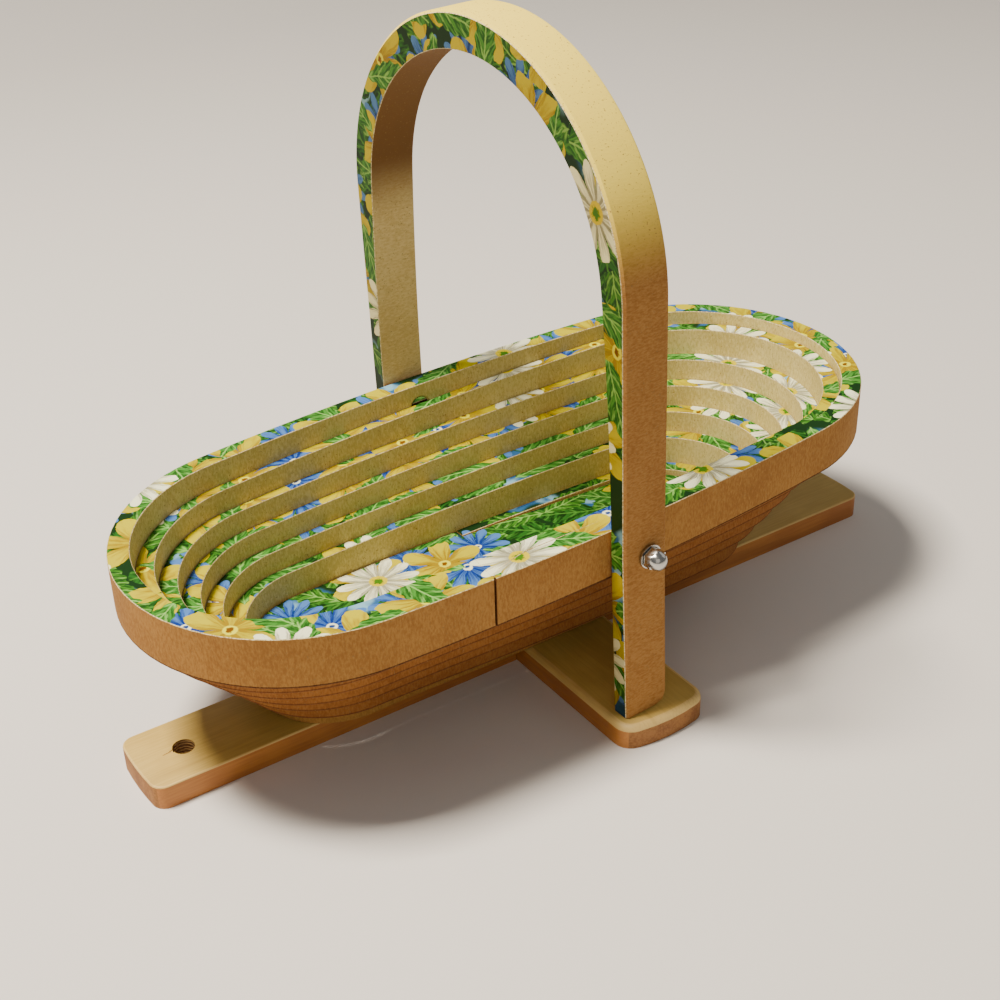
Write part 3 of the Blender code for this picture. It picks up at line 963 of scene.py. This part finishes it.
@dataclass
class CarryHandle:
    """The hoop handle, sawn from the board round the outside of the oval."""

    board: Board
    gap: float = 1.2 * MM
    leg_width: float = 6.9 * MM
    arch_width: float = 12.3 * MM
    arch_radius: float = 76.9 * MM
    lean: float = math.radians(1.2)
    corner: float = 4.5 * MM
    splay: float = 1.6 * MM
    forward: float = 1.2 * MM
    rounding: float = 2.2 * MM
    chamfer: float = 1.0 * MM
    body: str = "handle"

    @property
    def front(self) -> float:
        """How far the printed face stands in front of the pivot."""
        return self.board.thickness / 2.0 + self.forward

    @property
    def leg_length(self) -> float:
        """Length of a leg below the pivot."""
        reach = self.board.pivot - self.board.foot_top - self.board.clear
        return (reach - self.front * math.sin(self.lean)) / math.cos(self.lean)

    def outline(self) -> list[tuple[Vector, Vector]]:
        """Return pairs of outer and inner points (along, across) from the near foot to the far one."""
        board = self.board
        inner = (board.half_length + self.gap, board.half_width + self.gap,
                 board.end_radius + self.gap)
        outer = (board.half_length + self.gap + self.arch_width,
                 board.half_width + self.gap + self.leg_width, self.arch_radius)
        down = [0.0, 0.02, 0.08, 0.18, 0.32, 0.5, 0.72, 1.0]
        heights = [-self.leg_length + self.corner * share for share in down]
        heights.append(-self.leg_length * 0.45)
        out = [self.splay * -z / self.leg_length for z in heights]
        near = [(Vector((z, -outer[1] - y, 0.0)), Vector((z, -inner[1] - y, 0.0)))
                for z, y in zip(heights, out)]
        far = [(Vector((a.x, -a.y, 0.0)), Vector((b.x, -b.y, 0.0))) for a, b in reversed(near)]
        places = [0.5 + k / 20.0 for k in range(10)] + [1.0 + k / 72.0 for k in range(72)]
        places += [2.0 + k / 20.0 for k in range(11)]
        arch = [(oval(*outer, place), oval(*inner, place)) for place in places]
        return near + arch + far

    def section(self, outer: Vector, inner: Vector) -> list[tuple[Vector, float]]:
        """Return the section between two points of the outline, as points with their depths.

        Args:
            outer: the outer point.
            inner: the inner point.

        Returns:
            Thirteen corners, from the chamfer by the print round the inside and the back.
        """
        edge, wide, round_edge = self.board.edge, self.chamfer, self.rounding
        up = min(outer.x + self.leg_length, self.corner)
        back = self.board.thickness - self.front - self.corner
        back += math.sqrt(max(self.corner ** 2 - (self.corner - up) ** 2, 0.0))
        inwards = (inner - outer).normalized()
        arc = [(round_edge * (1.0 - math.cos(angle)), back - round_edge * (1.0 - math.sin(angle)))
               for angle in map(math.radians, (0.0, 30.0, 60.0, 90.0))]
        return ([(outer, wide - self.front), (outer + inwards * (wide - edge), edge - self.front),
                 (outer + inwards * wide, -self.front), (inner - inwards * edge, -self.front),
                 (inner, edge - self.front)]
                + [(inner - inwards * depth, x) for depth, x in arc]
                + [(outer + inwards * depth, x) for depth, x in reversed(arc)])

    def build(self, materials: list[Material], pivots: "PivotFittings") -> None:
        """Model and dress the handle.

        Args:
            materials: inner wall, print, outer wall and paper edge, in the order of Slot.
            pivots: the fittings, which bore the legs.
        """
        turn = Matrix.Rotation(-self.lean, 4, "Y")
        rows = [[turn @ Vector((x, point.y, point.x)) + Vector((0.0, 0.0, self.board.pivot))
                 for point, x in self.section(outer, inner)] for outer, inner in self.outline()]
        sides = ([Slot.OUTSIDE, Slot.PAPER, Slot.PRINT, Slot.PAPER]
                 + [Slot.WALL] * 4 + [Slot.OUTSIDE] * 5)
        piece = loft("handle_sawn", rows, sides, Slot.OUTSIDE)
        for tool in pivots.bores(PivotFittings.LEGS):
            take_out(piece, tool)
        smooth(piece, SAWN_CREASE)
        hand_over(piece, "handle", self.body, materials)


@dataclass
class PivotFittings:
    """The bolt, washers and domed nut at each pivot."""

    board: Board
    head_sink: float = 0.4 * MM
    head_radius: float = 3.8 * MM
    head_depth: float = 2.0 * MM
    bolt_radius: float = 2.0 * MM
    reach: float = 90.0 * MM
    body: str = "handle"

    RIM = "rim"
    LEGS = "legs"

    def bores(self, where: str) -> list[Piece]:
        """Return the tools that bore the rim or the legs for the bolts.

        Args:
            where: RIM or LEGS.

        Returns:
            The tools.
        """
        tools = []
        radius = self.bolt_radius + self.board.clear
        board = self.board
        head_at = board.half_width - board.rim_width + board.kerf / 2.0 + self.head_sink
        for sign in (-1.0, 1.0):
            turn = (-sign * math.pi / 2.0, 0.0, 0.0)
            start = head_at if where == self.RIM else self.board.half_width
            middle = (0.0, sign * (start + self.reach) / 2.0, self.board.pivot)
            deselect()
            bpy.ops.mesh.primitive_cylinder_add(vertices=32, radius=radius, depth=self.reach - start,
                                                location=middle, rotation=turn)
            tools.append(bpy.context.object)
            if where == self.RIM:
                wide = self.head_radius + self.board.clear
                deep = self.head_depth + 4.0 * self.head_sink
                wider = wide + (wide - radius) / self.head_depth * 4.0 * self.head_sink
                place = (0.0, sign * (head_at - 4.0 * self.head_sink + deep / 2.0), self.board.pivot)
                bpy.ops.mesh.primitive_cone_add(vertices=32, radius1=wider, radius2=radius, depth=deep,
                                                location=place, rotation=turn)
                tools.append(bpy.context.object)
        return tools

    def build(self, steel: Material) -> None:
        """Dress the fittings.

        Args:
            steel: their material.
        """
        kinds = ("pivot_bolt_", "spacer_washer_", "nut_washer_", "cap_nut_")
        dress_steel([kind + side for side in ("near", "far") for kind in kinds], self.body, steel)


@dataclass
class CrossFoot:
    """The two pine bars with their half lap, and the screws up into the slat."""

    board: Board
    turn: float = math.radians(-2.1)
    shift: float = 8.0 * MM
    spread: float = 66.0 * MM
    screw_radius: float = 1.8 * MM
    hole_at: float = -140.8 * MM
    hole_radius: float = 4.0 * MM
    crack_gap: float = 1.6 * MM
    crack_slant: float = 0.12
    body: str = "base"

    def screw_bores(self) -> list[Piece]:
        """Return the tools that bore the slat for its screws."""
        tools = []
        for k in (-1, 0, 1):
            x = self.shift + k * self.spread
            deselect()
            bpy.ops.mesh.primitive_cylinder_add(
                vertices=24, radius=self.screw_radius + self.board.clear, depth=self.board.thickness,
                location=(x * math.cos(self.turn), x * math.sin(self.turn), self.board.foot_top))
            tools.append(bpy.context.object)
        return tools

    def hole(self) -> Vector:
        """Return the middle of the hang hole at the bar's top."""
        return Vector((self.hole_at * math.cos(self.turn), self.hole_at * math.sin(self.turn),
                       self.board.foot_top))

    def fray(self, bar: Piece) -> None:
        """Tear a chip and a short crack in the bar's top beside the hang hole."""
        along = Vector((math.cos(self.turn), math.sin(self.turn), 0.0))
        chip, crack = (1.7, 0.8, 0.7), (2.6, 0.16, 0.35)
        for reach, size in ((self.hole_radius, chip), (self.hole_radius + self.crack_gap, crack)):
            deselect()
            bpy.ops.mesh.primitive_ico_sphere_add(
                subdivisions=3, radius=1.0 * MM, location=self.hole() - along * reach,
                rotation=(0.0, 0.0, self.turn + self.crack_slant), scale=size)
            take_out(bar, bpy.context.object)

    def build(self, finishes: list[PlanedPine], end_grain: PineEndGrain, bore: DrilledPine,
              steel: Material) -> None:
        """Dress the bars and the screws.

        Args:
            finishes: the bars' finishes on their top, their eased edges (paler for sanded wear and a
                painted highlight) and their sides (darker as painted shade).
            end_grain: the finish of their ends.
            bore: the finish of the hang hole's wall.
            steel: the screws' material.
        """
        for node, angle in (("foot_long_bar", self.turn),
                            ("foot_crosspiece", self.turn + math.pi / 2.0)):
            piece = recast(node, PINE_CREASE)
            if node == "foot_long_bar":
                self.fray(piece)
            grain = Vector((math.cos(angle), math.sin(angle), 0.0))
            for face in piece.data.polygons:
                face.material_index = PineSlot.TOP
                # Sloping eased faces: paler for sanded wear and a painted highlight; upright sides:
                # painted shade.
                if UPRIGHT < face.normal.z < FLAT:
                    face.material_index = PineSlot.WORN
                elif abs(face.normal.z) <= UPRIGHT:
                    at_end = abs(face.normal.dot(grain)) > 0.7
                    face.material_index = PineSlot.END if at_end else PineSlot.SIDE
                    if (face.center - self.hole()).to_2d().length < self.hole_radius + 0.2 * MM:
                        face.material_index = PineSlot.BORE
            hand_over(piece, node, self.body,
                      [finish.make(angle) for finish in finishes] + [end_grain.make(), bore.make()])
        dress_steel(["foot_screw_" + side for side in ("left", "middle", "right")], self.body, steel)


@dataclass
class Studio:
    """Pale floor, soft lights and the camera."""

    azimuth: float = math.radians(-35.30)
    elevation: float = math.radians(31.00)
    roll: float = math.radians(-1.62)
    place: tuple[float, float, float] = (-297.93 * MM, -412.34 * MM, 365.60 * MM)
    lens: float = 57.02
    sensor: float = 36.0
    aim: tuple[float, float, float] = (0.0, 0.0, 0.08)
    sweep_start: float = 0.9
    sweep: float = 0.55
    floor_drop: float = 0.05 * MM

    def build(self) -> None:
        """Set the floor, the lights, the sky and the camera."""
        deselect()
        bpy.ops.mesh.primitive_grid_add(x_subdivisions=40, y_subdivisions=40, size=6.0)
        floor = bpy.context.object
        floor.name = "studio_floor"
        for vertex in floor.data.vertices:
            back = max(vertex.co.y - self.sweep_start, 0.0)
            vertex.co.z = self.sweep * back * back - self.floor_drop
        smooth(floor, 60.0)
        material, tree, shader = new_material("studio_paper")
        shader.inputs["Base Color"].default_value = linear("DEDBD6")
        shader.inputs["Roughness"].default_value = 0.9
        floor.data.materials.append(material)
        for name, place, size, power, tint in (
                ("key_light", (-0.47, 0.2, 1.35), 0.34, 47.0, "FFF2E0"),
                ("fill_light", (-0.75, -1.2, 0.9), 1.2, 3.2, "FFF1E0"),
                ("side_light", (1.3, -0.2, 0.8), 1.0, 2.0, "FFF8F0")):
            deselect()
            bpy.ops.object.light_add(type="AREA", location=place)
            light = bpy.context.object
            light.name = name
            light.data.size = size
            light.data.energy = power
            light.data.color = linear(tint)[:3]
            aim = Vector(self.aim) - Vector(place)
            light.rotation_euler = aim.to_track_quat("-Z", "Y").to_euler()
        world = bpy.data.worlds.new("soft_room")
        bpy.context.scene.world = world
        world.use_nodes = True
        back = world.node_tree.nodes["Background"]
        back.inputs["Color"].default_value = linear("EDEBE8")
        back.inputs["Strength"].default_value = 0.25
        deselect()
        bpy.ops.object.camera_add(location=self.place)
        camera = bpy.context.object
        cos, sin = math.cos(self.elevation), math.sin(self.elevation)
        behind = Vector((math.sin(self.azimuth) * cos, -math.cos(self.azimuth) * cos, sin))
        right = (-behind).cross(Vector((0.0, 0.0, 1.0))).normalized()
        up = right.cross(-behind)
        across = right * math.cos(self.roll) + up * math.sin(self.roll)
        upright = up * math.cos(self.roll) - right * math.sin(self.roll)
        camera.rotation_euler = Matrix((across, upright, behind)).transposed().to_euler()
        camera.data.sensor_width = self.sensor
        camera.data.lens = self.lens
        camera.data.clip_start = 0.01
        bpy.context.scene.camera = camera


def main() -> None:
    """Build and dress the basket, set the stage and report each piece."""
    logging.basicConfig(level=logging.INFO, format="%(name)s: %(message)s")
    board = Board()
    pivots = PivotFittings(board)
    steel = PlatedSteel("plated_steel").make()
    # Lit and shaded copies of one fibreboard: this paler inner wall tone is painted light.
    wall = SawnFibreboard("fibreboard_inner_wall_painted_light", "D6C684", "BCAA64").make(BoardFace.UP)
    # Darker outsides of the turns and the rim: painted shade.
    outside = SawnFibreboard("fibreboard_turn_outside_painted_shade", "9A6632", "845024").make(BoardFace.UP)
    rim_outside = SawnFibreboard("fibreboard_rim_outside_painted_shade", "AA7C40", "926430").make(BoardFace.UP)
    # The slat's paler side: painted light.
    slat_side = SawnFibreboard("fibreboard_slat_side_painted_light", "B08242", "986C32").make(BoardFace.UP)
    # The darker underside and the dark line under the rim: painted shade.
    underside = SawnFibreboard("fibreboard_underside_painted_shade", "7C4C24", "623A18").make(BoardFace.UP)
    painted_shade_line = SawnFibreboard("fibreboard_painted_shade_line", "66401E", "482810").make(BoardFace.UP)
    printed = PrintedPaper("printed_paper").make(BoardFace.UP, board.pivot)
    cut_line = PaperEdge("torn_paper_edge").make()
    SpiralBasket(board).build([wall, printed, outside, cut_line, underside],
                              [wall, printed, rim_outside, cut_line, painted_shade_line], slat_side, pivots)
    # Handle inside: a paler tone as painted light, with painted shade under the arch.
    handle_inside = SawnFibreboard("fibreboard_handle_inside_painted_light_and_shade", "E2CA8E", "CEB276",
                                   shaded="72502E").make(BoardFace.LEFT)
    # Handle outside: darker legs as painted shade, a paler arch top as a painted highlight.
    handle_outside = SawnFibreboard("fibreboard_handle_outside_painted_shade_and_highlight", "A87A42", "90622E",
                                    painted_highlight="F0D858").make(BoardFace.LEFT)
    # The handle's print is darkened as painted shade.
    handle_print = PrintedPaper("printed_paper_handle_painted_shade",
                                painted_shade_tint="D2C6AE").make(BoardFace.LEFT, board.pivot)
    CarryHandle(board).build([handle_inside, handle_print, handle_outside, cut_line], pivots)
    pivots.build(steel)
    # Pine: paler eased edges for sanded wear and a painted highlight; darker sides as painted shade.
    pine = [PlanedPine("planed_pine"), PlanedPine("planed_pine_worn_and_highlit", "DCBE74", "C8A65C", "B8944C"),
            PlanedPine("planed_pine_side_painted_shade", "BC7C36", "A6662A", "8E5420")]
    CrossFoot(board).build(pine, PineEndGrain("pine_end_grain"), DrilledPine("drilled_pine"), steel)
    Studio().build()
    bpy.context.view_layer.update()


if __name__ == "__main__":
    main()
